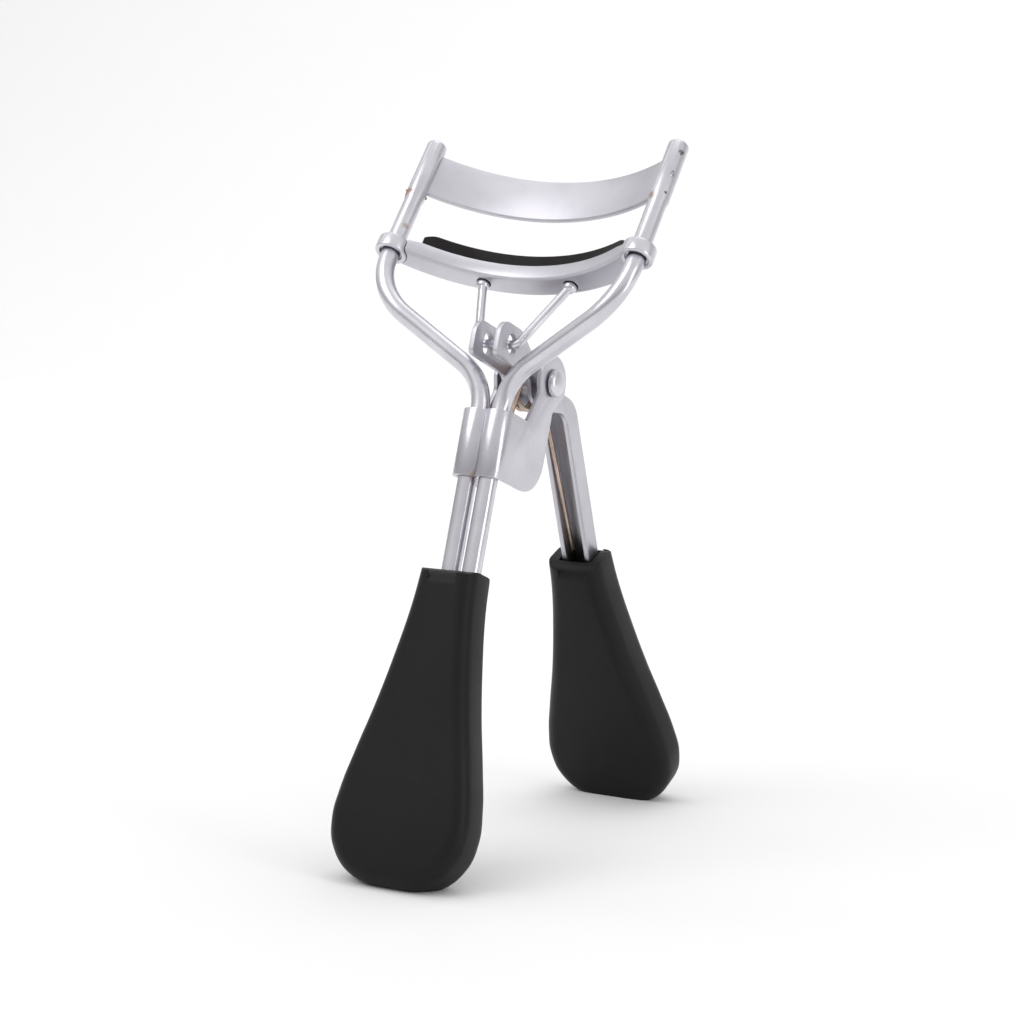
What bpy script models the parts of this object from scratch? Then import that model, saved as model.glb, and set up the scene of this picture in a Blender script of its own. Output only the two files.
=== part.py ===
"""Eyelash curler: a two-rod frame with a fixed upper bar, a lever with a hidden torsion
spring, and a padded lower bar that a wire link pushes up the posts.

Sizes are millimetres here and metres in Blender. The curler is laid out along its lower
rods (X across, Y back towards the lever, Z up the rods) and then leans on its root empty
so that it stands on its two grips.
"""

import math

import bmesh
import bpy
from mathutils import Matrix, Vector

MM = 0.001

# Frame rods
ROD_RADIUS = 1.3
ROD_SPACING = 1.6          # centre of a rod to the middle plane, below the Y
ROD_FOOT_Z = -25.0         # rods end inside the front grip
FORK_Z = 13.6              # corner of the Y
FORK_BEND = 7.5
SHOULDER_W = -7.4          # outer corner of the Y, measured along the post
SHOULDER_BEND = 9.0
POST_X = 19.0
POST_SWELL = 1.12          # the slotted part of a post is a little thicker
POST_TOP_W = 18.9

# The head: posts lean back, and the bars cross from post to post
HEAD_Y = -1.9
HEAD_Z = 31.46
HEAD_LEAN = math.radians(20.3)
UPPER_SAG = 6.3
LOWER_SAG = 7.1
UPPER_SHEET = 0.8
UPPER_BOTTOM_W = 10.3
UPPER_TOP_W = 17.2
SLOT_WIDTH = 1.2
SLOT_BOTTOM_W = 9.2
SLOT_TOP_W = 17.8

# Lower bar: a channel with a pad, held by two collars
CHANNEL_WIDTH = 3.8
CHANNEL_BOTTOM_W = -0.8
CHANNEL_TOP_W = 1.5
CHANNEL_SHEET = 0.5
COLLAR_OUTER = 2.3
COLLAR_INNER = 1.6
COLLAR_HALF = 1.1
PAD_WIDTH = 2.4
PAD_BOTTOM_W = 0.1
PAD_TOP_W = 4.0
PAD_HALF_LENGTH = 16.2

# Link
BALL_X = 6.8
BALL_W = -1.15
BALL_RADIUS = 0.95
BALL_HOLE_RADIUS = 1.2
LINK_RADIUS = 0.62
LINK_HALF = 3.0
LINK_BEND = 1.0

# Hinge bracket
CLIP_TOP_Z = 9.3
CLIP_INNER = 1.5
CLIP_OUTER = 2.1

# Lever
PIVOT_Y = 9.4
PIVOT_Z = 16.2
RAIL_ANGLE = math.radians(39.2)    # rails to the lower rods
LEVER_HALF = 2.2
LEVER_SHEET = 0.7
RAIL_FRONT = 4.9
RAIL_BACK = 7.9
RAIL_END = 31.9
TANG_END = 47.0
TANG_HALF = 1.5
EAR_HOLE_Y = -1.2
EAR_HOLE_Z = 18.4
EAR_HOLE_HALF_Y = 1.25
EAR_HOLE_HALF_Z = 1.5
PIVOT_HOLE = 1.08

# Rivet
RIVET_SHANK = 1.0
RIVET_HEAD = 1.9
RIVET_SEAT = CLIP_OUTER + ROD_SPACING + 0.2
RIVET_RIM = 0.35
RIVET_DOME = 0.8

# Spring
COIL_Y = 8.6
COIL_Z = 15.1
COIL_RADIUS = 3.0
COIL_TURNS = 2
COIL_HALF = 1.0
WIRE_RADIUS = 0.32
SHORT_TIP = (2.3, 4.0)
LEG_BEND = (18.0, 13.2)

# Grips
GRIP_THICK = 7.0
GRIP_EDGE = 2.2
GRIP_LENGTH = 42.2
GRIP_PROFILE = (  # distance below the mouth, half width
    (5.0, 4.6),
    (12.0, 5.7),
    (18.5, 7.0),
    (25.0, 8.6),
    (30.5, 9.8),
    (34.5, 10.1),
    (38.3, 9.0),
    (41.4, 5.6),
)
GRIP_MOUTH_HALF = 4.2
FRONT_GRIP_Y = -1.2
FRONT_GRIP_Z = -13.2
REAR_GRIP_ALONG = 30.2
REAR_GRIP_OFFSET = 6.2
FRONT_GRIP_LEAN = math.radians(2.0)
REAR_GRIP_LEAN = math.radians(2.2)     # beyond the rails
POCKET_GAP = 0.2
GAP = 0.3

# Standing on both grips
STAND_LEAN = math.radians(17.62)
STAND_HEIGHT = 51.63
STAND_Y = -14.14
FOOT_BOX = 60.0


def v(x, y, z):
    return Vector((x, y, z)) * MM


def along_lever(along, offset):
    """A (Y, Z) point: distance down the rails and distance behind the pivot's line."""
    down = Vector((math.sin(RAIL_ANGLE), -math.cos(RAIL_ANGLE)))
    behind = Vector((math.cos(RAIL_ANGLE), math.sin(RAIL_ANGLE)))
    return Vector((PIVOT_Y, PIVOT_Z)) + down * along + behind * offset


def from_head(x, back, up):
    """A point of the head's leaning axes in the frame's axes."""
    y = HEAD_Y + back * math.cos(HEAD_LEAN) + up * math.sin(HEAD_LEAN)
    z = HEAD_Z - back * math.sin(HEAD_LEAN) + up * math.cos(HEAD_LEAN)
    return Vector((x, y, z))


def bar_radius(sag):
    return (POST_X ** 2 + sag ** 2) / (2 * sag)


def round_corner(before, corner, after, radius, steps):
    """The arc that replaces a corner between two straight runs."""
    if radius == 0:
        return [corner]
    to_before = (before - corner).normalized()
    to_after = (after - corner).normalized()
    half = to_before.angle(to_after) / 2
    centre = corner + (to_before + to_after).normalized() * (radius / math.sin(half))
    start = corner + to_before * (radius / math.tan(half)) - centre
    end = corner + to_after * (radius / math.tan(half)) - centre
    turns = [start.slerp(end, step / steps).normalized() for step in range(steps + 1)]
    return [centre + turn * radius for turn in turns]


def rounded_outline(corners, steps=6):
    """A closed outline from (a, b, corner radius) rows."""
    spots = [Vector(row[:2]) for row in corners]
    outline = []
    for index, row in enumerate(corners):
        after = spots[(index + 1) % len(spots)]
        outline += round_corner(spots[index - 1], spots[index], after, row[2], steps)
    return outline


def rounded_path(spots, radii, steps=8):
    """An open path whose inner corners are arcs."""
    path = [spots[0]]
    for index in range(1, len(spots) - 1):
        path += round_corner(spots[index - 1], spots[index], spots[index + 1], radii[index - 1], steps)
    return path + [spots[-1]]


# ---------------------------------------------------------------- scene set-up

for old in list(bpy.data.objects):
    bpy.data.objects.remove(old, do_unlink=True)


def new_collection(name):
    collection = bpy.data.collections.new(name)
    bpy.context.scene.collection.children.link(collection)
    return collection


curler = new_collection("eyelash_curler")
cutters = new_collection("curler_cutters")


def material(name, colour, roughness, metallic):
    made = bpy.data.materials.new(name)
    made.use_nodes = True
    shader = made.node_tree.nodes["Principled BSDF"]
    shader.inputs["Base Color"].default_value = (*colour, 1.0)
    shader.inputs["Roughness"].default_value = roughness
    shader.inputs["Metallic"].default_value = metallic
    return made


chrome = material("bright_chrome", (0.78, 0.78, 0.80), 0.12, 1.0)
satin_steel = material("satin_nickel", (0.66, 0.66, 0.68), 0.34, 1.0)
braze = material("braze_filler", (0.42, 0.27, 0.16), 0.5, 1.0)
spring_wire = material("bronzed_spring_wire", (0.46, 0.33, 0.25), 0.3, 1.0)
grip_black = material("soft_touch_black", (0.012, 0.012, 0.013), 0.45, 0.0)
silicone = material("black_silicone", (0.02, 0.018, 0.018), 0.6, 0.0)


def empty(name, location, lean=0.0, parent=None):
    made = bpy.data.objects.new(name, None)
    made.empty_display_size = 5 * MM
    made.location = location
    made.rotation_euler.x = lean
    made.parent = parent
    curler.objects.link(made)
    return made


stand = empty("stand", v(0, STAND_Y, STAND_HEIGHT), -STAND_LEAN)
head = empty("head_axes", v(0, HEAD_Y, HEAD_Z), -HEAD_LEAN, stand)
carriage = empty("slide_axes", v(0, HEAD_Y, HEAD_Z), -HEAD_LEAN, stand)
lever_axis = empty("lever_axis", v(0, PIVOT_Y, PIVOT_Z), 0.0, stand)
ball_centre = from_head(BALL_X, LOWER_SAG + math.sqrt(bar_radius(LOWER_SAG) ** 2 - BALL_X ** 2)
                        - bar_radius(LOWER_SAG), BALL_W)
link_axis = empty("link_axis", v(0, ball_centre.y, ball_centre.z), 0.0, stand)


def add_node(name, mesh, parent, finish, smooth_angle=35):
    """A sub-part whose mesh is in its parent's axes."""
    made = bpy.data.objects.new(name, mesh)
    made.parent = parent
    mesh.materials.clear()
    mesh.materials.append(finish)
    mesh.shade_smooth()
    mesh.set_sharp_from_angle(angle=math.radians(smooth_angle))
    curler.objects.link(made)
    return made


def add_cutter(name, mesh, parent):
    made = bpy.data.objects.new(name, mesh)
    made.parent = parent
    made.hide_render = True
    made.display_type = "WIRE"
    cutters.objects.link(made)
    return made


def boolean(target, tool, operation="DIFFERENCE"):
    step = target.modifiers.new(tool.name, "BOOLEAN")
    step.operation = operation
    step.solver = "EXACT"
    step.object = tool


def shift(mesh, offset):
    mesh.transform(Matrix.Translation(-offset * MM))
    return mesh


def curve_to_mesh(curve, matrix=None):
    """The evaluated curve as a closed mesh, with its caps welded on."""
    holder = bpy.data.objects.new("outline_holder", curve)
    bpy.context.scene.collection.objects.link(holder)
    graph = bpy.context.evaluated_depsgraph_get()
    mesh = bpy.data.meshes.new_from_object(holder.evaluated_get(graph))
    bpy.data.objects.remove(holder, do_unlink=True)
    work = bmesh.new()
    work.from_mesh(mesh)
    bmesh.ops.remove_doubles(work, verts=work.verts, dist=0.002 * MM)
    bmesh.ops.recalc_face_normals(work, faces=work.faces)
    work.to_mesh(mesh)
    work.free()
    if matrix:
        mesh.transform(matrix)
    return mesh


def wire_mesh(name, path, radius, swell=None, resolution=2):
    """A round wire or rod along a list of points, with flat ends."""
    curve = bpy.data.curves.new(name, "CURVE")
    curve.dimensions = "3D"
    curve.bevel_depth = radius * MM
    curve.bevel_resolution = resolution
    curve.use_fill_caps = True
    spline = curve.splines.new("POLY")
    spline.points.add(len(path) - 1)
    for index, spot in enumerate(path):
        spline.points[index].co = (*(spot * MM), 1.0)
        spline.points[index].radius = swell[index] if swell else 1.0
    return curve_to_mesh(curve)


# Turns a flat outline's axes into the curler's side view, with its thickness along X
SIDE_VIEW = Matrix(((0, 0, 1, 0), (1, 0, 0, 0), (0, 1, 0, 0), (0, 0, 0, 1)))


def plate_mesh(name, outline, half_thickness, matrix=None):
    """A flat outline made solid."""
    curve = bpy.data.curves.new(name, "CURVE")
    curve.dimensions = "2D"
    curve.fill_mode = "BOTH"
    curve.extrude = half_thickness * MM
    spline = curve.splines.new("POLY")
    spline.points.add(len(outline) - 1)
    for index, spot in enumerate(outline):
        spline.points[index].co = (spot.x * MM, spot.y * MM, 0.0, 1.0)
    spline.use_cyclic_u = True
    return curve_to_mesh(curve, matrix)


def swept_mesh(name, section, sag, half_angle, steps, closed=True):
    """A (back, up) section carried along a bar's arc between the posts."""
    axis = Vector((0.0, sag - bar_radius(sag), 0.0))
    work = bmesh.new()
    verts = [work.verts.new((0.0, back * MM, up * MM)) for back, up in section]
    last = len(verts) if closed else len(verts) - 1
    for index in range(last):
        work.edges.new((verts[index], verts[(index + 1) % len(verts)]))
    if closed:
        work.faces.new(verts)
    turn = Matrix.Rotation(half_angle, 3, "Z")
    bmesh.ops.rotate(work, cent=axis * MM, matrix=turn, verts=work.verts)
    bmesh.ops.spin(work, geom=work.verts[:] + work.edges[:] + work.faces[:], cent=axis * MM,
                   axis=(0, 0, 1), angle=-2 * half_angle, steps=steps)
    bmesh.ops.recalc_face_normals(work, faces=work.faces)
    mesh = bpy.data.meshes.new(name)
    work.to_mesh(mesh)
    work.free()
    return mesh


def cylinder_mesh(name, radius, depth, matrix, sides=24):
    work = bmesh.new()
    bmesh.ops.create_cone(work, cap_ends=True, segments=sides, radius1=radius * MM,
                          radius2=radius * MM, depth=depth * MM, matrix=matrix)
    mesh = bpy.data.meshes.new(name)
    work.to_mesh(mesh)
    work.free()
    return mesh


def box_mesh(name, size, centre, turn=0.0):
    """A box, turned about its own upright axis."""
    work = bmesh.new()
    bmesh.ops.create_cube(work, size=MM)
    bmesh.ops.scale(work, vec=size, verts=work.verts)
    place = Matrix.Translation(v(*centre)) @ Matrix.Rotation(turn, 4, "Z")
    bmesh.ops.transform(work, matrix=place, verts=work.verts)
    mesh = bpy.data.meshes.new(name)
    work.to_mesh(mesh)
    work.free()
    return mesh


ACROSS = Matrix.Rotation(math.pi / 2, 4, "Y")


# ---------------------------------------------------------------- frame rods

def frame_rod(side, name):
    """One rod: up through the clip, out along the Y, then up as a leaning post."""
    spots = [
        Vector((side * ROD_SPACING, 0, ROD_FOOT_Z)),
        Vector((side * ROD_SPACING, 0, FORK_Z)),
        from_head(side * POST_X, 0, SHOULDER_W),
        from_head(side * POST_X, 0, SLOT_BOTTOM_W - 0.8),
    ]
    path = rounded_path(spots, (FORK_BEND, SHOULDER_BEND), 7)
    swell = [1.0] * len(path)
    for up in (SLOT_BOTTOM_W, POST_TOP_W - 0.5):
        path.append(from_head(side * POST_X, 0, up))
        swell.append(POST_SWELL)
    path.append(from_head(side * POST_X, 0, POST_TOP_W))
    swell.append(POST_SWELL * 0.75)
    rod = add_node(name, wire_mesh(name, path, ROD_RADIUS, swell), stand, chrome)
    radius = bar_radius(UPPER_SAG)
    slot = box_mesh(name + "_slot", (6.0, SLOT_WIDTH, SLOT_TOP_W - SLOT_BOTTOM_W),
                    (side * POST_X, 0, (SLOT_TOP_W + SLOT_BOTTOM_W) / 2),
                    -side * math.asin(POST_X / radius))
    boolean(rod, add_cutter(name + "_slot", slot, head))


frame_rod(-1, "frame_rod_left")
frame_rod(1, "frame_rod_right")


# ---------------------------------------------------------------- upper bar and its braze

def upper_bar():
    radius = bar_radius(UPPER_SAG)
    front, back = UPPER_SAG - UPPER_SHEET / 2, UPPER_SAG + UPPER_SHEET / 2
    section = rounded_outline((
        (front, UPPER_BOTTOM_W, 0.15),
        (back, UPPER_BOTTOM_W, 0.15),
        (back, UPPER_TOP_W, 0.15),
        (front, UPPER_TOP_W, 0.3),
    ), 2)
    half_angle = math.asin(POST_X / radius) + 1.2 / radius
    mesh = swept_mesh("upper_bar", section, UPPER_SAG, half_angle, 26)
    add_node("upper_bar", mesh, head, satin_steel)


def braze_bead(side, name):
    """The filler at the foot of a post's slot, proud on both sides."""
    length = 2 * ROD_RADIUS * POST_SWELL + 0.5
    outline = rounded_outline((
        (-length / 2, SLOT_BOTTOM_W + GAP, 0.25),
        (length / 2, SLOT_BOTTOM_W + GAP, 0.25),
        (length / 2, UPPER_BOTTOM_W - GAP / 2, 0.25),
        (-length / 2, UPPER_BOTTOM_W - GAP / 2, 0.25),
    ), 3)
    upright = Matrix.Rotation(math.pi / 2, 4, "X")
    turn = Matrix.Rotation(-side * math.asin(POST_X / bar_radius(UPPER_SAG)), 4, "Z")
    place = Matrix.Translation(v(side * POST_X, 0, 0)) @ turn @ upright
    add_node(name, plate_mesh(name, outline, SLOT_WIDTH / 2 - 0.2, place), head, braze)


upper_bar()
braze_bead(-1, "braze_left")
braze_bead(1, "braze_right")


# ---------------------------------------------------------------- lower bar, collars, pad

def lower_bar():
    half = CHANNEL_WIDTH / 2 - CHANNEL_SHEET / 2
    low = CHANNEL_BOTTOM_W + CHANNEL_SHEET / 2
    bend = 0.5
    section = [Vector((LOWER_SAG - half, CHANNEL_TOP_W))]
    section += round_corner(Vector((-half, 9)), Vector((-half, low)), Vector((half, low)), bend, 3)
    section += round_corner(Vector((-half, low)), Vector((half, low)), Vector((half, 9)), bend, 3)
    section.append(Vector((LOWER_SAG + half, CHANNEL_TOP_W)))
    for index in range(1, len(section) - 1):
        section[index] = section[index] + Vector((LOWER_SAG, 0))
    half_angle = math.asin((POST_X - 0.6) / bar_radius(LOWER_SAG))
    mesh = swept_mesh("lower_bar", section, LOWER_SAG, half_angle, 26, closed=False)
    bar = add_node("lower_bar", mesh, carriage, satin_steel)
    wall = bar.modifiers.new("sheet", "SOLIDIFY")
    wall.thickness = CHANNEL_SHEET * MM
    wall.offset = 0
    for side in (-1, 1):
        reach = Matrix.Translation(v(side * POST_X, 0, 0))
        end = cylinder_mesh("bar_end", COLLAR_OUTER + 0.25, 12.0, reach, 32)
        boolean(bar, add_cutter("bar_end", end, carriage))
        back = LOWER_SAG - bar_radius(LOWER_SAG) + math.sqrt(bar_radius(LOWER_SAG) ** 2 - BALL_X ** 2)
        place = Matrix.Translation(v(side * BALL_X, back, BALL_W))
        hole = cylinder_mesh("ball_hole", BALL_HOLE_RADIUS, 3.0, place)
        boolean(bar, add_cutter("ball_hole", hole, carriage))


def collar(side, name):
    """A short tube that slides on its post."""
    edge = 0.3
    section = rounded_outline((
        (COLLAR_OUTER, COLLAR_HALF, edge),
        (COLLAR_OUTER, -COLLAR_HALF, edge),
        (COLLAR_INNER, -COLLAR_HALF, 0.0),
        (COLLAR_INNER, COLLAR_HALF, 0.0),
    ), 2)
    work = bmesh.new()
    verts = [work.verts.new((spot.x * MM, 0.0, spot.y * MM)) for spot in section]
    for index, vert in enumerate(verts):
        work.edges.new((vert, verts[(index + 1) % len(verts)]))
    mesh = bpy.data.meshes.new(name)
    work.to_mesh(mesh)
    work.free()
    ring = add_node(name, mesh, carriage, chrome)
    ring.location = v(side * POST_X, 0, 0)
    turned = ring.modifiers.new("turned", "SCREW")
    turned.steps = turned.render_steps = 28
    turned.use_merge_vertices = True
    turned.merge_threshold = 0.00001


def lash_pad():
    """The silicone strip, with ramped ends."""
    front, back = LOWER_SAG - PAD_WIDTH / 2, LOWER_SAG + PAD_WIDTH / 2
    section = rounded_outline((
        (front, PAD_BOTTOM_W, 0.0),
        (back, PAD_BOTTOM_W, 0.0),
        (back, PAD_TOP_W, 0.6),
        (front, PAD_TOP_W, 0.6),
    ), 3)
    radius = bar_radius(LOWER_SAG)
    half_angle = math.asin(PAD_HALF_LENGTH / radius)
    mesh = swept_mesh("lash_pad", section, LOWER_SAG, half_angle, 30)
    ramp = 1.6
    for vert in mesh.vertices:
        short = PAD_HALF_LENGTH - abs(vert.co.x) / MM
        if short < ramp and vert.co.z > PAD_BOTTOM_W * MM:
            drop = 1.0 - max(short, 0.0) / ramp
            vert.co.z *= 1.0 - 0.45 * drop * drop
    add_node("lash_pad", mesh, carriage, silicone)


lower_bar()
collar(-1, "collar_left")
collar(1, "collar_right")
lash_pad()


# ---------------------------------------------------------------- link wire

def link_wire():
    """A V of wire: its cross-bar lies in the lever's ears, its balls in the lower bar."""
    spots = [
        Vector((-BALL_X, ball_centre.y, ball_centre.z)),
        Vector((-LINK_HALF, EAR_HOLE_Y, EAR_HOLE_Z)),
        Vector((LINK_HALF, EAR_HOLE_Y, EAR_HOLE_Z)),
        Vector((BALL_X, ball_centre.y, ball_centre.z)),
    ]
    path = rounded_path(spots, (LINK_BEND, LINK_BEND), 5)
    offset = Vector((0, ball_centre.y, ball_centre.z))
    mesh = shift(wire_mesh("link_wire", path, LINK_RADIUS), offset)
    wire = add_node("link_wire", mesh, link_axis, chrome)
    for side in (-1, 1):
        work = bmesh.new()
        bmesh.ops.create_uvsphere(work, u_segments=16, v_segments=10, radius=BALL_RADIUS * MM,
                                  matrix=Matrix.Translation(v(side * BALL_X, 0, 0)))
        ball = bpy.data.meshes.new("ball_end")
        work.to_mesh(ball)
        work.free()
        boolean(wire, add_cutter("ball_end", ball, link_axis), "UNION")


link_wire()


# ---------------------------------------------------------------- hinge bracket

def clip_section():
    """Plan view of the bracket's sheet: two bulges round the rods and two ears."""
    steps = 10
    reach = 15.0

    def bulge(radius, end):
        """Half of a contour, from the outer side towards the middle."""
        angles = [-end * step / steps for step in range(steps + 1)]
        return [Vector((ROD_SPACING + radius * math.cos(a), radius * math.sin(a))) for a in angles]

    meet = math.acos(-ROD_SPACING / CLIP_OUTER)
    outer = [Vector((ROD_SPACING + CLIP_OUTER, reach))] + bulge(CLIP_OUTER, meet)
    inner = [Vector((ROD_SPACING + CLIP_INNER, reach))] + bulge(CLIP_INNER, math.radians(150))
    inner.append(Vector((0.0, inner[-1].y)))
    left = [Vector((-spot.x, spot.y)) for spot in reversed(outer[:-1])]
    inner_left = [Vector((-spot.x, spot.y)) for spot in inner]
    return outer + left + inner_left + list(reversed(inner[:-1]))


def hinge_bracket():
    section = clip_section()
    height = 24.0
    lift = Matrix.Translation(v(0, 0, height / 2 - 1.0))
    bracket = add_node("hinge_bracket", plate_mesh("hinge_bracket", section, height / 2, lift),
                       stand, satin_steel)
    outline = rounded_outline((
        (-4.0, 0.0, 0.0),
        (10.7, 0.0, 4.8),
        (10.7, 12.4, 1.5),
        (13.2, 15.2, 1.2),
        (13.2, 20.0, 3.75),
        (5.6, 20.0, 3.75),
        (5.6, 15.8, 0.8),
        (6.3, 14.0, 1.2),
        (4.2, CLIP_TOP_Z, 0.8),
        (-4.0, CLIP_TOP_Z, 0.0),
    ))
    shape = plate_mesh("bracket_outline", outline, 6.0, SIDE_VIEW)
    boolean(bracket, add_cutter("bracket_outline", shape, stand), "INTERSECT")
    place = Matrix.Translation(v(0, PIVOT_Y, PIVOT_Z)) @ ACROSS
    hole = cylinder_mesh("bracket_hole", PIVOT_HOLE, 12.0, place)
    boolean(bracket, add_cutter("bracket_hole", hole, stand))


def pivot_rivet():
    """A turned pin with a low dome at each end."""
    steps = 5
    dome = []
    for step in range(steps + 1):
        turn = math.pi / 2 * step / steps
        dome.append((RIVET_HEAD * math.sin(turn), RIVET_SEAT + RIVET_RIM + RIVET_DOME * math.cos(turn)))
    half = dome + [(RIVET_HEAD, RIVET_SEAT), (RIVET_SHANK, RIVET_SEAT)]
    profile = half + [(radius, -up) for radius, up in reversed(half)]
    work = bmesh.new()
    verts = [work.verts.new((radius * MM, 0.0, up * MM)) for radius, up in profile]
    for first, second in zip(verts, verts[1:]):
        work.edges.new((first, second))
    mesh = bpy.data.meshes.new("pivot_rivet")
    work.to_mesh(mesh)
    work.free()
    rivet = add_node("pivot_rivet", mesh, stand, chrome)
    rivet.location = v(0, PIVOT_Y, PIVOT_Z)
    rivet.rotation_euler.y = math.pi / 2
    turned = rivet.modifiers.new("turned", "SCREW")
    turned.steps = turned.render_steps = 24
    turned.use_merge_vertices = True
    turned.merge_threshold = 0.00001


hinge_bracket()
pivot_rivet()


# ---------------------------------------------------------------- lever

def lever():
    """Two side plates joined by a web behind the rails, with a tang for the grip."""
    outline = rounded_outline((
        (-4.9, 16.0, 0.8),
        (-4.9, 21.1, 2.2),
        (0.9, 21.1, 2.4),
        (4.9, 19.0, 2.0),
        (11.6, 19.0, 2.5),
        (14.9, 16.3, 2.0),
        (*along_lever(6.5, RAIL_BACK), 4.2),
        (*along_lever(RAIL_END, RAIL_BACK), 1.1),
        (*along_lever(RAIL_END, RAIL_FRONT), 1.7),
        (*along_lever(7.0, RAIL_FRONT), 3.0),
        (12.0, 12.8, 2.5),
        (7.2, 12.8, 2.5),
        (5.0, 15.8, 1.5),
    ))
    offset = Vector((0, PIVOT_Y, PIVOT_Z))
    body_mesh = shift(plate_mesh("lever", outline, LEVER_HALF, SIDE_VIEW), offset)
    body = add_node("lever", body_mesh, lever_axis, satin_steel)

    web = RAIL_BACK - LEVER_SHEET
    cavity = rounded_outline((
        (-9.0, 8.0, 0.0),
        (-9.0, 26.0, 0.0),
        (15.0, 26.0, 0.0),
        (15.0, 15.5, 0.0),
        (*along_lever(6.5, web), 3.5),
        (*along_lever(RAIL_END + 4, web), 0.0),
        (*along_lever(RAIL_END + 4, 0), 0.0),
    ))
    inside = shift(plate_mesh("lever_cavity", cavity, LEVER_HALF - LEVER_SHEET, SIDE_VIEW), offset)
    boolean(body, add_cutter("lever_cavity", inside, lever_axis))

    tang_outline = [along_lever(a, b) for a, b in (
        (RAIL_END - 3, web + 0.05), (RAIL_END - 3, RAIL_BACK - 0.05),
        (TANG_END, RAIL_BACK - 0.05), (TANG_END, web + 0.05))]
    tang = shift(plate_mesh("lever_tang", tang_outline, TANG_HALF, SIDE_VIEW), offset)
    boolean(body, add_cutter("lever_tang", tang, lever_axis), "UNION")

    pivot_hole = cylinder_mesh("lever_hole", PIVOT_HOLE, 12.0, ACROSS)
    boolean(body, add_cutter("lever_hole", pivot_hole, lever_axis))
    low, high = EAR_HOLE_Z - EAR_HOLE_HALF_Z, EAR_HOLE_Z + EAR_HOLE_HALF_Z
    near, far = EAR_HOLE_Y - EAR_HOLE_HALF_Y, EAR_HOLE_Y + EAR_HOLE_HALF_Y
    ear = rounded_outline(((near, low, 1.1), (far, low, 1.1), (far, high, 1.1), (near, high, 1.1)), 5)
    ear_hole = shift(plate_mesh("ear_holes", ear, 6.0, SIDE_VIEW), offset)
    boolean(body, add_cutter("ear_holes", ear_hole, lever_axis))


lever()


# ---------------------------------------------------------------- torsion spring

def tangent_angle(spot, side):
    """Angle on the coil where a straight leg from a point meets it."""
    reach = Vector(spot) - Vector((COIL_Y, COIL_Z))
    return math.atan2(reach.y, reach.x) + side * math.acos(COIL_RADIUS / reach.length)


def torsion_spring():
    """Coil round the rivet, short leg behind the rods, long leg down the lever."""
    start = tangent_angle(SHORT_TIP, -1)
    end = tangent_angle(LEG_BEND, 1)
    while end > start:
        end -= 2 * math.pi
    end -= 2 * math.pi * COIL_TURNS
    steps = 40
    path = [Vector((COIL_HALF, *SHORT_TIP))]
    for step in range(steps + 1):
        share = step / steps
        turn = start + (end - start) * share
        path.append(Vector((COIL_HALF * (1 - 2 * share), COIL_Y + COIL_RADIUS * math.cos(turn),
                            COIL_Z + COIL_RADIUS * math.sin(turn))))
    leg_end = along_lever(RAIL_END + 1.2, RAIL_BACK - LEVER_SHEET - WIRE_RADIUS - GAP)
    bend = round_corner(path[-1], Vector((-COIL_HALF, *LEG_BEND)), Vector((-COIL_HALF, *leg_end)), 6.0, 4)
    path += bend + [Vector((-COIL_HALF, *leg_end))]
    add_node("torsion_spring", wire_mesh("torsion_spring", path, WIRE_RADIUS), stand, spring_wire)


torsion_spring()


# ---------------------------------------------------------------- grips

def grip_outline():
    """Front view of a grip: square mouth, swelling paddle, round end."""
    rows = [(GRIP_MOUTH_HALF, 0.0)] + [(half, -down) for down, half in GRIP_PROFILE]
    right = [Vector((half, up)) for half, up in rows]
    left = [Vector((-half, up)) for half, up in reversed(rows)]
    return right + [Vector((0, -GRIP_LENGTH))] + left


def grip(name, parent, place, lean):
    """A paddle: local X across, Y up to the mouth, Z out of its front face."""
    curve = bpy.data.curves.new(name, "CURVE")
    curve.dimensions = "2D"
    curve.fill_mode = "BOTH"
    curve.bevel_depth = GRIP_EDGE * MM
    curve.bevel_resolution = 2
    curve.offset = -GRIP_EDGE * MM
    curve.extrude = (GRIP_THICK / 2 - GRIP_EDGE) * MM
    curve.resolution_u = 3
    spots = grip_outline()
    spline = curve.splines.new("BEZIER")
    spline.bezier_points.add(len(spots) - 1)
    for knot, spot in zip(spline.bezier_points, spots):
        knot.co = (spot.x * MM, spot.y * MM, 0)
        knot.handle_left_type = knot.handle_right_type = "AUTO"
    for knot in (spline.bezier_points[0], spline.bezier_points[-1]):
        knot.handle_left_type = knot.handle_right_type = "VECTOR"
    spline.use_cyclic_u = True
    made = add_node(name, curve_to_mesh(curve), parent, grip_black)
    made.location = place
    made.rotation_euler.x = lean
    floor = box_mesh("floor_" + name, (FOOT_BOX, 3 * FOOT_BOX, FOOT_BOX), (0, 0, -FOOT_BOX / 2))
    boolean(made, add_cutter("floor_" + name, floor, None))
    return made


def front_grip():
    lean = math.pi / 2 - FRONT_GRIP_LEAN
    made = grip("front_grip", stand, v(0, FRONT_GRIP_Y, FRONT_GRIP_Z), lean)
    depth = FRONT_GRIP_Z - ROD_FOOT_Z + GAP
    width = 2 * (ROD_SPACING + ROD_RADIUS + POCKET_GAP)
    pocket = box_mesh("rod_pocket", (width, 2 * (ROD_RADIUS + POCKET_GAP), depth + 5),
                      (0, 0, FRONT_GRIP_Z - depth + (depth + 5) / 2))
    boolean(made, add_cutter("rod_pocket", pocket, stand))


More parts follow.
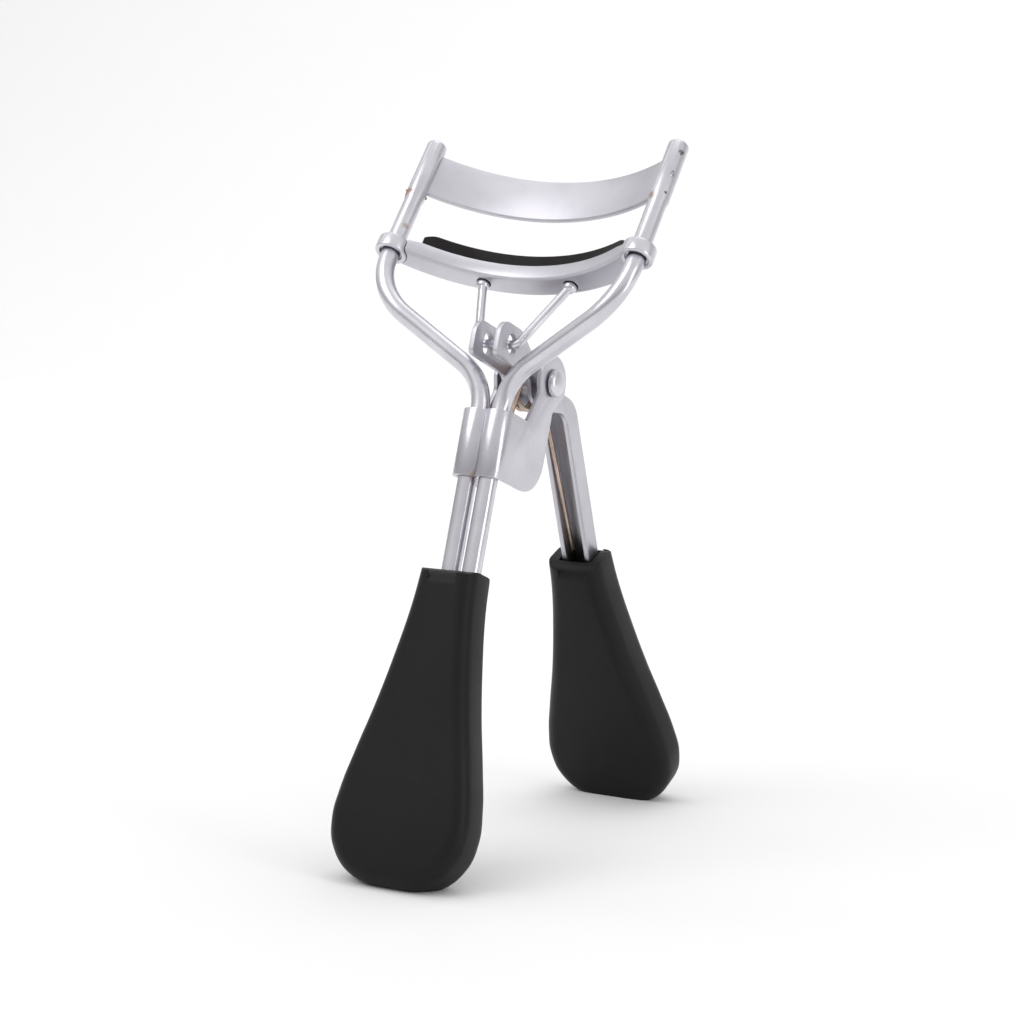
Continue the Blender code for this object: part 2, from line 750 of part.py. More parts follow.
def rear_grip():
    mouth = along_lever(REAR_GRIP_ALONG, REAR_GRIP_OFFSET) - Vector((PIVOT_Y, PIVOT_Z))
    lean = math.pi / 2 + RAIL_ANGLE + REAR_GRIP_LEAN
    made = grip("rear_grip", lever_axis, v(0, mouth.x, mouth.y), lean)
    offset = Vector((0, PIVOT_Y, PIVOT_Z))
    rails = [along_lever(a, b) for a, b in (
        (REAR_GRIP_ALONG - 4, RAIL_FRONT - 0.5), (REAR_GRIP_ALONG - 4, RAIL_BACK + 0.4),
        (RAIL_END + 1.9, RAIL_BACK + 0.4), (RAIL_END + 1.9, RAIL_FRONT - 0.5))]
    wide = shift(plate_mesh("rail_pocket", rails, LEVER_HALF + 0.4, SIDE_VIEW), offset)
    boolean(made, add_cutter("rail_pocket", wide, lever_axis))
    slot = [along_lever(a, b) for a, b in (
        (RAIL_END, RAIL_BACK - LEVER_SHEET - GAP), (RAIL_END, RAIL_BACK + GAP),
        (TANG_END + GAP, RAIL_BACK + GAP), (TANG_END + GAP, RAIL_BACK - LEVER_SHEET - GAP))]
    thin = shift(plate_mesh("tang_slot", slot, TANG_HALF + GAP, SIDE_VIEW), offset)
    boolean(made, add_cutter("tang_slot", thin, lever_axis))


front_grip()
rear_grip()
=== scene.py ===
# Eyelash curler: finished pieces, finishes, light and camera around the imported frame.
# Pieces are built in millimetres; finishPiece turns them to metres and puts them in place.
import math

import bmesh
import bpy
from mathutils import Matrix, Vector


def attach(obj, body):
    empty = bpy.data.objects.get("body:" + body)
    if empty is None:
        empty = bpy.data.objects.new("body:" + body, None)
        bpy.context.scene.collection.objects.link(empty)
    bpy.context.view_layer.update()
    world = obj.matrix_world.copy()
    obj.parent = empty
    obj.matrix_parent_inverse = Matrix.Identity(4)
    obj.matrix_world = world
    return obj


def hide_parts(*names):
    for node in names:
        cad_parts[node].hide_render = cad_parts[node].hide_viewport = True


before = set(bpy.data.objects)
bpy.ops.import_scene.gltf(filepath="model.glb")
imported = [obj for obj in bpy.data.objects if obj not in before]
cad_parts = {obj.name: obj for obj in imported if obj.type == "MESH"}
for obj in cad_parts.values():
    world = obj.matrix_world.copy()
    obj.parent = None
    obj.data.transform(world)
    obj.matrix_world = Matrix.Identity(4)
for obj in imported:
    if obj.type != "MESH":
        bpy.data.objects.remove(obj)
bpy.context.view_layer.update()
print("frame loaded:", len(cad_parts), "nodes")


# Camera
cameraView = {"place": (0.15044, -0.27897, 0.0785), "turn": (84.14, -1.60, 28.88), "lens": 80.2}

shot = bpy.data.objects.new("shotCamera", bpy.data.cameras.new("shotCamera"))
shot.location = cameraView["place"]
shot.rotation_euler = [math.radians(angle) for angle in cameraView["turn"]]
shot.data.lens = cameraView["lens"]
shot.data.sensor_width = 36
shot.data.clip_start = 0.005
bpy.context.scene.collection.objects.link(shot)
bpy.context.scene.camera = shot
print("camera set")


# Where the curler's own axes stand: X across, Y back towards the lever, Z up the lower rods
stance = {"lean": 17.62, "back": -14.14, "up": 51.63}
headAxes = {"lean": 20.3, "back": -1.9, "up": 31.46, "postX": 19.0}
pivotAt = {"back": 9.4, "up": 16.2, "railAngle": 39.2}


def turned(angle, axis):
    return Matrix.Rotation(math.radians(angle), 4, axis)


def moved(x, y, z):
    return Matrix.Translation((x, y, z))


toolPlace = Matrix.Scale(0.001, 4) @ moved(0, stance["back"], stance["up"]) @ turned(-stance["lean"], "X")
headTurn = moved(0, headAxes["back"], headAxes["up"]) @ turned(-headAxes["lean"], "X")
headPlace = toolPlace @ headTurn
acrossX = turned(90, "Y")


def fromHead(x, back, up):
    return headTurn @ Vector((x, back, up))


def alongLever(along, offset):
    angle = math.radians(pivotAt["railAngle"])
    y = pivotAt["back"] + math.sin(angle) * along + math.cos(angle) * offset
    z = pivotAt["up"] - math.cos(angle) * along + math.sin(angle) * offset
    return y, z


# Shader groups shared by the finishes
def newGroup(name, inputs, outputs):
    group = bpy.data.node_groups.new(name, "ShaderNodeTree")
    kinds = {"value": "NodeSocketFloat", "colour": "NodeSocketColor", "vector": "NodeSocketVector"}
    for label, kind, start in inputs:
        socket = group.interface.new_socket(name=label, in_out="INPUT", socket_type=kinds[kind])
        socket.default_value = start
    for label, kind in outputs:
        group.interface.new_socket(name=label, in_out="OUTPUT", socket_type=kinds[kind])
    return group


def addNode(tree, kind, settings=None, values=None):
    made = tree.nodes.new(kind)
    for key, value in (settings or {}).items():
        setattr(made, key, value)
    for key, value in (values or {}).items():
        made.inputs[key].default_value = value
    return made


def mapRange(tree, source, low, high, toLow, toHigh):
    made = addNode(tree, "ShaderNodeMapRange", {"interpolation_type": "SMOOTHSTEP"})
    for key, value in (("From Min", low), ("From Max", high), ("To Min", toLow), ("To Max", toHigh)):
        made.inputs[key].default_value = value
    tree.links.new(source, made.inputs["Value"])
    return made.outputs["Result"]


def makeToneDrift():
    # slow change of colour and roughness over a surface
    tree = newGroup("toneDrift", [
        ("Light", "colour", (0.8, 0.8, 0.8, 1)), ("Dark", "colour", (0.6, 0.6, 0.6, 1)),
        ("Scale", "value", 90.0), ("Smooth", "value", 0.2), ("Rough", "value", 0.3),
    ], [("Color", "colour"), ("Roughness", "value")])
    entry, leave = addNode(tree, "NodeGroupInput"), addNode(tree, "NodeGroupOutput")
    place = addNode(tree, "ShaderNodeTexCoord")
    cloud = addNode(tree, "ShaderNodeTexNoise", {"noise_dimensions": "3D"}, {"Detail": 4.0, "Roughness": 0.55})
    smear = addNode(tree, "ShaderNodeTexNoise", {"noise_dimensions": "3D"}, {"Detail": 2.0, "Distortion": 1.2})
    wide = addNode(tree, "ShaderNodeMath", {"operation": "MULTIPLY"}, {1: 0.45})
    tree.links.new(entry.outputs["Scale"], wide.inputs[0])
    tree.links.new(entry.outputs["Scale"], cloud.inputs["Scale"])
    tree.links.new(wide.outputs[0], smear.inputs["Scale"])
    for noise in (cloud, smear):
        tree.links.new(place.outputs["Object"], noise.inputs["Vector"])
    mix = addNode(tree, "ShaderNodeMix", {"data_type": "RGBA"})
    tree.links.new(mapRange(tree, cloud.outputs["Fac"], 0.3, 0.7, 0.0, 1.0), mix.inputs["Factor"])
    tree.links.new(entry.outputs["Light"], mix.inputs[6])
    tree.links.new(entry.outputs["Dark"], mix.inputs[7])
    tree.links.new(mix.outputs[2], leave.inputs["Color"])
    rough = addNode(tree, "ShaderNodeMix", {"data_type": "FLOAT"})
    tree.links.new(mapRange(tree, smear.outputs["Fac"], 0.35, 0.65, 0.0, 1.0), rough.inputs["Factor"])
    tree.links.new(entry.outputs["Smooth"], rough.inputs[2])
    tree.links.new(entry.outputs["Rough"], rough.inputs[3])
    tree.links.new(rough.outputs[0], leave.inputs["Roughness"])
    return tree


def makeFineGrain():
    # a tight grain for plating, moulded rubber or silicone, with a slower waviness under it
    tree = newGroup("fineGrain", [
        ("Scale", "value", 2500.0), ("Grain", "value", 0.1),
        ("Wave Scale", "value", 160.0), ("Wave", "value", 0.1),
    ], [("Normal", "vector")])
    entry, leave = addNode(tree, "NodeGroupInput"), addNode(tree, "NodeGroupOutput")
    place = addNode(tree, "ShaderNodeTexCoord")
    last = None
    for size, depth, reach in (("Wave Scale", "Wave", 0.0004), ("Scale", "Grain", 0.00005)):
        noise = addNode(tree, "ShaderNodeTexNoise", {"noise_dimensions": "3D"}, {"Detail": 2.0})
        bump = addNode(tree, "ShaderNodeBump", None, {"Distance": reach})
        tree.links.new(place.outputs["Object"], noise.inputs["Vector"])
        tree.links.new(entry.outputs[size], noise.inputs["Scale"])
        tree.links.new(entry.outputs[depth], bump.inputs["Strength"])
        tree.links.new(noise.outputs["Fac"], bump.inputs["Height"])
        if last:
            tree.links.new(last.outputs["Normal"], bump.inputs["Normal"])
        last = bump
    tree.links.new(last.outputs["Normal"], leave.inputs["Normal"])
    return tree


def makeSpotStainAndReflection():
    # a ragged round spot about one point: a stain such as heat colour at a brazed joint, and also a painted
    # reflection
    tree = newGroup("spotStainAndReflection", [
        ("Centre", "vector", (0, 0, 0)), ("Radius", "value", 0.002), ("Ragged", "value", 0.0008),
    ], [("Mask", "value")])
    entry, leave = addNode(tree, "NodeGroupInput"), addNode(tree, "NodeGroupOutput")
    place = addNode(tree, "ShaderNodeTexCoord")
    apart = addNode(tree, "ShaderNodeVectorMath", {"operation": "DISTANCE"})
    tree.links.new(place.outputs["Object"], apart.inputs[0])
    tree.links.new(entry.outputs["Centre"], apart.inputs[1])
    noise = addNode(tree, "ShaderNodeTexNoise", {"noise_dimensions": "3D"}, {"Scale": 900.0, "Detail": 4.0})
    tree.links.new(place.outputs["Object"], noise.inputs["Vector"])
    shake = addNode(tree, "ShaderNodeMath", {"operation": "MULTIPLY_ADD"})
    tree.links.new(noise.outputs["Fac"], shake.inputs[0])
    tree.links.new(entry.outputs["Ragged"], shake.inputs[1])
    tree.links.new(apart.outputs["Value"], shake.inputs[2])
    share = addNode(tree, "ShaderNodeMath", {"operation": "DIVIDE"})
    tree.links.new(shake.outputs[0], share.inputs[0])
    tree.links.new(entry.outputs["Radius"], share.inputs[1])
    tree.links.new(mapRange(tree, share.outputs[0], 0.45, 1.15, 1.0, 0.0), leave.inputs["Mask"])
    return tree


toneDrift, fineGrain, spotStainAndReflection = makeToneDrift(), makeFineGrain(), makeSpotStainAndReflection()


def placeGroup(tree, group, values):
    made = addNode(tree, "ShaderNodeGroup", {"node_tree": group})
    for key, value in values.items():
        made.inputs[key].default_value = value
    return made


def finish(name, look):
    made = bpy.data.materials.new(name)
    made.use_nodes = True
    tree = made.node_tree
    shader = tree.nodes["Principled BSDF"]
    shader.inputs["Metallic"].default_value = look["metallic"]
    for key, value in look.get("extra", {}).items():
        shader.inputs[key].default_value = value
    tone = placeGroup(tree, toneDrift, {
        "Light": (*look["light"], 1), "Dark": (*look["dark"], 1), "Scale": look["toneScale"],
        "Smooth": look["smooth"], "Rough": look["rough"]})
    colour, rough = tone.outputs["Color"], tone.outputs["Roughness"]
    # each spot tints the colour and dulls the roughness; the spots are real stains and painted reflections
    # alike
    for spot, radius, tint, strength in look.get("stainsAndReflections", ()):
        stainAndReflection = placeGroup(tree, spotStainAndReflection, {"Centre": spot, "Radius": radius, "Ragged": radius * 0.9})
        mask = mapRange(tree, stainAndReflection.outputs["Mask"], 0.0, 1.0, 0.0, strength)
        blend = addNode(tree, "ShaderNodeMix", {"data_type": "RGBA"})
        blend.inputs[7].default_value = (*tint, 1)
        tree.links.new(mask, blend.inputs["Factor"])
        tree.links.new(colour, blend.inputs[6])
        colour = blend.outputs[2]
        duller = addNode(tree, "ShaderNodeMix", {"data_type": "FLOAT"})
        duller.inputs[3].default_value = stainAndReflectionRough
        tree.links.new(mask, duller.inputs["Factor"])
        tree.links.new(rough, duller.inputs[2])
        rough = duller.outputs[0]
    tree.links.new(colour, shader.inputs["Base Color"])
    tree.links.new(rough, shader.inputs["Roughness"])
    grain = placeGroup(tree, fineGrain, {
        "Scale": look["grainScale"], "Grain": look["grain"],
        "Wave Scale": look["waveScale"], "Wave": look["wave"]})
    tree.links.new(grain.outputs["Normal"], shader.inputs["Normal"])
    return made


# every finish: its two tones, how smooth and rough it gets, its grain and its waviness
plateLooks = {
    "bright": {
        "metallic": 1.0, "light": (0.70, 0.69, 0.735), "dark": (0.60, 0.59, 0.635), "toneScale": 120.0,
        "smooth": 0.20, "rough": 0.30,
        "grainScale": 4000.0, "grain": 0.05, "waveScale": 260.0, "wave": 0.04},
    "satin": {
        "metallic": 1.0, "light": (0.62, 0.61, 0.655), "dark": (0.54, 0.53, 0.575), "toneScale": 110.0,
        "smooth": 0.34, "rough": 0.44,
        "grainScale": 5200.0, "grain": 0.22, "waveScale": 190.0, "wave": 0.05},
    "spring": {
        "metallic": 1.0, "light": (0.62, 0.50, 0.42), "dark": (0.40, 0.29, 0.22), "toneScale": 320.0,
        "smooth": 0.20, "rough": 0.38,
        "grainScale": 3600.0, "grain": 0.12, "waveScale": 300.0, "wave": 0.05},
    "braze": {
        "metallic": 0.8, "light": (0.46, 0.30, 0.19), "dark": (0.20, 0.13, 0.09), "toneScale": 700.0,
        "smooth": 0.38, "rough": 0.62,
        "grainScale": 2600.0, "grain": 0.5, "waveScale": 900.0, "wave": 0.35},
    "grip": {
        "metallic": 0.0, "light": (0.0065, 0.006, 0.0065), "dark": (0.004, 0.004, 0.0045), "toneScale": 60.0,
        "smooth": 0.40, "rough": 0.50,
        "grainScale": 3400.0, "grain": 0.30, "waveScale": 120.0, "wave": 0.04,
        "extra": {"Specular IOR Level": 0.22}},
    "silicone": {
        "metallic": 0.0, "light": (0.010, 0.008, 0.0075), "dark": (0.006, 0.005, 0.005), "toneScale": 240.0,
        "smooth": 0.52, "rough": 0.66,
        "grainScale": 3000.0, "grain": 0.35, "waveScale": 200.0, "wave": 0.06,
        "extra": {"Specular IOR Level": 0.2}},
}
# roughness at the stains and at the painted reflection
stainAndReflectionRough = 0.55


def headSpot(x, back, up):
    return tuple(headPlace @ Vector((x, back, up)))


def toolSpot(x, back, up):
    return tuple(toolPlace @ Vector((x, back, up)))


# spots for stains and painted reflections: centre, radius in metres, colour and strength
brown = (0.30, 0.17, 0.09)
soot = (0.10, 0.08, 0.07)
postX = headAxes["postX"]
rodStains = (
    (headSpot(-postX - 0.6, -1.2, 9.2), 0.0016, brown, 0.75),
    (headSpot(-postX + 1.2, -0.9, 3.4), 0.0013, brown, 0.55),
    (headSpot(postX - 0.5, -1.4, 9.0), 0.0015, brown, 0.7),
    (headSpot(postX + 1.3, -0.5, 16.9), 0.0009, soot, 0.8),
    (toolSpot(0.0, -0.9, -0.7), 0.0016, brown, 0.6),
)
# painted reflection of the copper spring leg: brown spots down the middle of the lever's channel, tinting the
# inner faces of its flanges and web
channelLegReflection = {"colour": (0.34, 0.25, 0.15), "from": 9.0, "every": 4.5, "count": 5, "inside": 5.6,
                "radius": 0.0021, "strength": 0.6}
paintedLegReflection = tuple(
    (toolSpot(0, *alongLever(channelLegReflection["from"] + channelLegReflection["every"] * place, channelLegReflection["inside"])),
     channelLegReflection["radius"], channelLegReflection["colour"], channelLegReflection["strength"])
    for place in range(channelLegReflection["count"]))
clipStain = ((toolSpot(0.0, -1.2, 0.1), 0.0017, brown, 0.6),)
brightPlate = finish("brightPlate", plateLooks["bright"])
rodPlate = finish("rodPlate", {**plateLooks["bright"], "stainsAndReflections": rodStains})
satinPlate = finish("satinPlate", plateLooks["satin"])
clipPlate = finish("clipPlate", {**plateLooks["satin"], "smooth": 0.24, "rough": 0.34, "stainsAndReflections": clipStain})
# the lever's satin plate carries the painted reflection of the spring leg
leverPlate = finish("leverPlate", {**plateLooks["satin"], "stainsAndReflections": paintedLegReflection})
springSteel = finish("bronzedSpring", plateLooks["spring"])
brazeFiller = finish("brazeFiller", plateLooks["braze"])
gripRubber = finish("softTouchBlack", plateLooks["grip"])
padSilicone = finish("padSilicone", plateLooks["silicone"])
print("finishes ready")


# Helpers for shapes, all in millimetres
def onlyVerts(geom):
    return [item for item in geom if isinstance(item, bmesh.types.BMVert)]


sameSpot = 0.0005
hair = 1e-4


def roundEdge(bm, radius, corner, steps):
    # rounds the upright edge of a plate that stands on one corner of its outline
    before, at, after = corner
    opening = (before - at).angle(after - at)
    edges = [edge for edge in bm.edges
             if all((Vector((vert.co.y, vert.co.z)) - at).length < hair for vert in edge.verts)]
    bmesh.ops.bevel(bm, geom=edges, offset=radius / math.tan(opening / 2), segments=steps, profile=0.5,
                    affect="EDGES", clamp_overlap=False, material=-1)


def plate(rows, half, steps=7):
    # a flat plate in the side view from (back, up, corner radius) rows, its thickness across
    bm = bmesh.new()
    verts = [bm.verts.new((-half, row[0], row[1])) for row in rows]
    face = bm.faces.new(verts)
    grown = bmesh.ops.extrude_face_region(bm, geom=[face])["geom"]
    bmesh.ops.translate(bm, vec=(2 * half, 0, 0), verts=onlyVerts(grown))
    spots = [Vector(row[:2]) for row in rows]
    for index, row in enumerate(rows):
        if row[2]:
            corner = (spots[index - 1], spots[index], spots[(index + 1) % len(rows)])
            roundEdge(bm, row[2], corner, steps)
    bmesh.ops.recalc_face_normals(bm, faces=bm.faces)
    return bm


def block(size, centre, turn=None):
    bm = bmesh.new()
    place = moved(*centre) @ (turn or Matrix.Identity(4)) @ Matrix.Diagonal((*size, 1))
    bmesh.ops.create_cube(bm, size=1, matrix=place)
    return bm


def rod(radius, depth, place, sides=40):
    bm = bmesh.new()
    bmesh.ops.create_cone(bm, cap_ends=True, segments=sides, radius1=radius, radius2=radius, depth=depth,
                          matrix=place)
    return bm


def toObject(bm, name):
    mesh = bpy.data.meshes.new(name)
    bm.to_mesh(mesh)
    bm.free()
    made = bpy.data.objects.new(name, mesh)
    bpy.context.scene.collection.objects.link(made)
    return made


def cutWith(bm, tools):
    # the shape after each (tool, operation), worked out while it is still in millimetres
    body = toObject(bm, "shaping")
    helpers = []
    for tool, operation in tools:
        helper = toObject(tool, "tool")
        helpers.append(helper)
        step = body.modifiers.new("cut", "BOOLEAN")
        step.solver = "EXACT"
        step.operation = operation
        step.object = helper
    shaped = bpy.data.meshes.new_from_object(body.evaluated_get(bpy.context.evaluated_depsgraph_get()))
    result = bmesh.new()
    result.from_mesh(shaped)
    for used in [body] + helpers:
        bpy.data.objects.remove(used, do_unlink=True)
    bmesh.ops.remove_doubles(result, verts=result.verts, dist=sameSpot)
    bmesh.ops.dissolve_degenerate(result, dist=sameSpot, edges=result.edges)
    return result


def softenEdges(bm, width, steps=2, angle=32, keep=None):
    bm.normal_update()
    sharp = [edge for edge in bm.edges if edge.is_manifold and edge.calc_face_angle(0) > math.radians(angle)
             and (keep is None or keep(edge))]
    bmesh.ops.bevel(bm, geom=sharp, offset=width, segments=steps, profile=0.5, affect="EDGES",
                    clamp_overlap=True, material=-1)


def finishPiece(name, bm, place, material, body, nodes, sharp=30):
    bmesh.ops.remove_doubles(bm, verts=bm.verts, dist=0.0002)
    bmesh.ops.recalc_face_normals(bm, faces=bm.faces)
    mesh = bpy.data.meshes.new(name)
    bm.to_mesh(mesh)
    bm.free()
    mesh.transform(place)
    mesh.materials.append(material)
    mesh.shade_smooth()
    mesh.set_sharp_from_angle(angle=math.radians(sharp))
    piece = bpy.data.objects.new(name, mesh)
    bpy.context.scene.collection.objects.link(piece)
    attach(piece, body)
    if nodes:
        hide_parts(*nodes)
    return piece


# Wires: a ring of points is pushed along straight runs and spun round each bend
def ringOf(geom):
    verts = onlyVerts(geom)
    inside = set(verts)
    edges = [item for item in geom if isinstance(item, bmesh.types.BMEdge)
             and item.verts[0] in inside and item.verts[1] in inside]
    return verts, edges


def startRing(bm, at, heading, radius, sides):
    place = moved(*at) @ heading.to_track_quat("Z", "Y").to_matrix().to_4x4()
    verts = bmesh.ops.create_circle(bm, cap_ends=False, segments=sides, radius=radius, matrix=place)["verts"]
    return verts, list({edge for vert in verts for edge in vert.link_edges})


def pushRing(bm, ring, offset, scale=1.0):
    verts, edges = ringOf(bmesh.ops.extrude_edge_only(bm, edges=ring[1])["geom"])
    bmesh.ops.translate(bm, vec=offset, verts=verts)
    if scale != 1.0:
        middle = sum((vert.co for vert in verts), Vector()) / len(verts)
        bmesh.ops.scale(bm, vec=(scale, scale, scale), space=Matrix.Translation(-middle), verts=verts)
    return verts, edges


def turnRing(bm, ring, centre, axis, angle, steps, drift=(0, 0, 0)):
    spun = bmesh.ops.spin(bm, geom=ring[0] + ring[1], cent=centre, axis=axis, angle=angle,
                          steps=steps, dvec=drift)
    return ringOf(spun["geom_last"])


def wireThrough(bm, corners, bends, radius, sides=28, steps=12):
    heading = (corners[1] - corners[0]).normalized()
    ring = startRing(bm, corners[0], heading, radius, sides)
    here = corners[0]
    for index, bend in enumerate(bends):
        corner = corners[index + 1]
        onward = (corners[index + 2] - corner).normalized()
        angle = heading.angle(onward)
        reach = bend * math.tan(angle / 2)
        tangent = corner - heading * reach
        ring = pushRing(bm, ring, tangent - here)
        axis = heading.cross(onward).normalized()
        ring = turnRing(bm, ring, tangent + axis.cross(heading) * bend, axis, angle, steps)
        here, heading = corner + onward * reach, onward
    return pushRing(bm, ring, corners[-1] - here)


def closeEnds(bm):
    bmesh.ops.remove_doubles(bm, verts=bm.verts, dist=sameSpot)
    bmesh.ops.holes_fill(bm, edges=bm.edges[:], sides=0)
    bmesh.ops.recalc_face_normals(bm, faces=bm.faces)


# Bars: a section is spun about the middle of the bar's arc
barSteps = 56


def barRadius(sag):
    return (postX ** 2 + sag ** 2) / (2 * sag)


def sweepBar(section, sag, halfAngle, steps):
    bm = bmesh.new()
    verts = [bm.verts.new((0, back, up)) for back, up in section]
    bm.faces.new(verts)
    middle = Vector((0, sag - barRadius(sag), 0))
    bmesh.ops.rotate(bm, cent=middle, matrix=Matrix.Rotation(halfAngle, 3, "Z"), verts=bm.verts)
    bmesh.ops.spin(bm, geom=bm.verts[:] + bm.edges[:] + bm.faces[:], cent=middle, axis=(0, 0, 1),
                   angle=-2 * halfAngle, steps=steps)
    bmesh.ops.remove_doubles(bm, verts=bm.verts, dist=sameSpot)
    bmesh.ops.recalc_face_normals(bm, faces=bm.faces)
    return bm


def turnProfile(profile, sides=48):
    # a (radius, height) profile spun once about Z
    bm = bmesh.new()
    verts = [bm.verts.new((radius, 0, up)) for radius, up in profile]
    edges = [bm.edges.new(pair) for pair in zip(verts, verts[1:])]
    bmesh.ops.spin(bm, geom=verts + edges, cent=(0, 0, 0), axis=(0, 0, 1), angle=2 * math.pi, steps=sides,
                   use_merge=True)
    bmesh.ops.remove_doubles(bm, verts=bm.verts, dist=sameSpot)
    bmesh.ops.recalc_face_normals(bm, faces=bm.faces)
    return bm


# Frame rods
rods = {"radius": 1.3, "spacing": 1.6, "foot": -25.0, "fork": 13.6, "forkBend": 7.5,
        "shoulder": -7.4, "shoulderBend": 9.0, "top": 18.9, "topRound": 0.55,
        "swell": 1.12, "swellFrom": 8.2, "swellTall": 0.8,
        "slotFrom": 9.2, "slotTo": 17.8, "slotWide": 1.0, "slotDeep": 3.5,
        "pits": ((16.7, 0.45), (12.9, 0.6)), "pitWide": 0.3, "pitDeep": 0.55}
upper = {"sag": 6.3, "sheet": 0.8, "bottom": 10.3, "top": 17.2, "shortOf": 0.1, "edge": 0.22}
braze = {"long": 1.62, "deep": 0.5, "tall": 0.52}


def slotTurn(side):
    return Matrix.Rotation(-side * math.asin(postX / barRadius(upper["sag"])), 4, "Z")


def makeRod(side, name, node):
    bm = bmesh.new()
    corners = [Vector((side * rods["spacing"], 0, rods["foot"])),
               Vector((side * rods["spacing"], 0, rods["fork"])),
               fromHead(side * postX, 0, rods["shoulder"]), fromHead(side * postX, 0, rods["swellFrom"])]
    ring = wireThrough(bm, corners, (rods["forkBend"], rods["shoulderBend"]), rods["radius"], 36, 18)
    upPost = (headTurn.to_3x3() @ Vector((0, 0, 1))).normalized()
    ring = pushRing(bm, ring, upPost * rods["swellTall"], rods["swell"])
    pushRing(bm, ring, upPost * (rods["top"] - rods["swellFrom"] - rods["swellTall"]))
    closeEnds(bm)
    softenEdges(bm, rods["topRound"], 4)
    bmesh.ops.transform(bm, matrix=headTurn.inverted(), verts=bm.verts)
    middle = (rods["slotFrom"] + rods["slotTo"]) / 2
    inner = slotTurn(side) @ Vector((-side * rods["slotDeep"] / 2, 0, 0))
    outer = slotTurn(side) @ Vector((side * rods["radius"] * rods["swell"], 0, 0))
    slot = block((rods["slotDeep"], rods["slotWide"], rods["slotTo"] - rods["slotFrom"]),
                 (side * postX + inner.x, inner.y, middle), slotTurn(side))
    tools = [(slot, "DIFFERENCE")]
    for up, tall in (rods["pits"] if side > 0 else ()):
        pit = bmesh.new()
        bmesh.ops.create_icosphere(pit, subdivisions=3, radius=1.0)
        shape = Matrix.Diagonal((rods["pitDeep"], rods["pitWide"], tall, 1))
        place = moved(side * postX + outer.x, outer.y, up) @ slotTurn(side) @ shape
        bmesh.ops.transform(pit, matrix=place, verts=pit.verts)
        tools.append((pit, "DIFFERENCE"))
    bm = cutWith(bm, tools)
    finishPiece(name, bm, headPlace, rodPlate, "frame", [node])


makeRod(-1, "rodLeft", "frame_rod_left")
makeRod(1, "rodRight", "frame_rod_right")


# Upper bar, pushed through the slots of both posts, and the filler under it
def makeUpperBar():
    front, back = upper["sag"] - upper["sheet"] / 2, upper["sag"] + upper["sheet"] / 2
    section = [(front, upper["bottom"]), (back, upper["bottom"]), (back, upper["top"]), (front, upper["top"])]
    radius = barRadius(upper["sag"])
    bm = sweepBar(section, upper["sag"], math.asin(postX / radius) - upper["shortOf"] / radius, barSteps)
    softenEdges(bm, upper["edge"], 3)
    finishPiece("upperBar", bm, headPlace, satinPlate, "frame", ["upper_bar"])


def makeBraze(side, name, node):
    bm = bmesh.new()
    bmesh.ops.create_icosphere(bm, subdivisions=4, radius=1.0)
    bmesh.ops.scale(bm, vec=(braze["long"], braze["deep"], braze["tall"]), verts=bm.verts)
    place = moved(side * postX, 0, rods["slotFrom"] + braze["tall"]) @ slotTurn(side)
    bmesh.ops.transform(bm, matrix=place, verts=bm.verts)
    finishPiece(name, bm, headPlace, brazeFiller, "frame", [node])


makeUpperBar()
makeBraze(-1, "brazeLeft", "braze_left")
makeBraze(1, "brazeRight", "braze_right")
print("rods and upper bar made")


# Lower bar, collars and pad
lower = {"sag": 7.1, "width": 3.8, "bottom": -0.8, "top": 1.5, "sheet": 0.5, "shortOf": 0.6,
         "fold": 0.5, "rim": 0.1, "slopeFrom": 15.0, "slopeOver": 3.0, "slopeDrop": 0.7}
collars = {"outer": 2.3, "inner": 1.6, "half": 1.1, "edge": 0.28, "clear": 0.12}
pad = {"width": 2.4, "bottom": 0.1, "top": 4.0, "half": 16.2, "ramp": 2.2, "rampDrop": 0.42, "edge": 0.75}
ball = {"x": 6.8, "up": -1.15, "radius": 0.95, "hole": 1.06}


def makeLowerBar():
    sheet, half, middle = lower["sheet"], lower["width"] / 2, lower["sag"]
    low, high = lower["bottom"], lower["top"]
    section = [(middle - half, high), (middle - half, low), (middle + half, low), (middle + half, high),
               (middle + half - sheet, high), (middle + half - sheet, low + sheet),
               (middle - half + sheet, low + sheet), (middle - half + sheet, high)]
    radius = barRadius(lower["sag"])
    bm = sweepBar(section, lower["sag"], math.asin((postX - lower["shortOf"]) / radius), barSteps)
    softenEdges(bm, lower["fold"], 4, 32, lambda edge: max(vert.co.z for vert in edge.verts) < low + 0.1
                and abs(edge.verts[0].co.x - edge.verts[1].co.x) > 0.1)
    for vert in bm.verts:
        past = abs(vert.co.x) - lower["slopeFrom"]
        if past > 0 and vert.co.z > 0:
            vert.co.z -= lower["slopeDrop"] * min(past / lower["slopeOver"], 1.0) * vert.co.z / high
    tools = []
    arc = middle - radius + math.sqrt(radius ** 2 - ball["x"] ** 2)
    for side in (-1, 1):
        tools.append((rod(collars["outer"] + collars["clear"], 12, moved(side * postX, 0, 0)), "DIFFERENCE"))
        tools.append((rod(ball["hole"], 3, moved(side * ball["x"], arc, ball["up"])), "DIFFERENCE"))
    bm = cutWith(bm, tools)
    softenEdges(bm, lower["rim"], 2, 50)
    finishPiece("lowerBar", bm, headPlace, satinPlate, "carriage", ["lower_bar"])


def makeCollar(side, name, node):
    outer, inner, half = collars["outer"], collars["inner"], collars["half"]
    bm = turnProfile([(outer, -half), (outer, half), (inner, half), (inner, -half), (outer, -half)])
    softenEdges(bm, collars["edge"], 4)
    bmesh.ops.translate(bm, vec=(side * postX, 0, 0), verts=bm.verts)
    finishPiece(name, bm, headPlace, brightPlate, "carriage", [node])


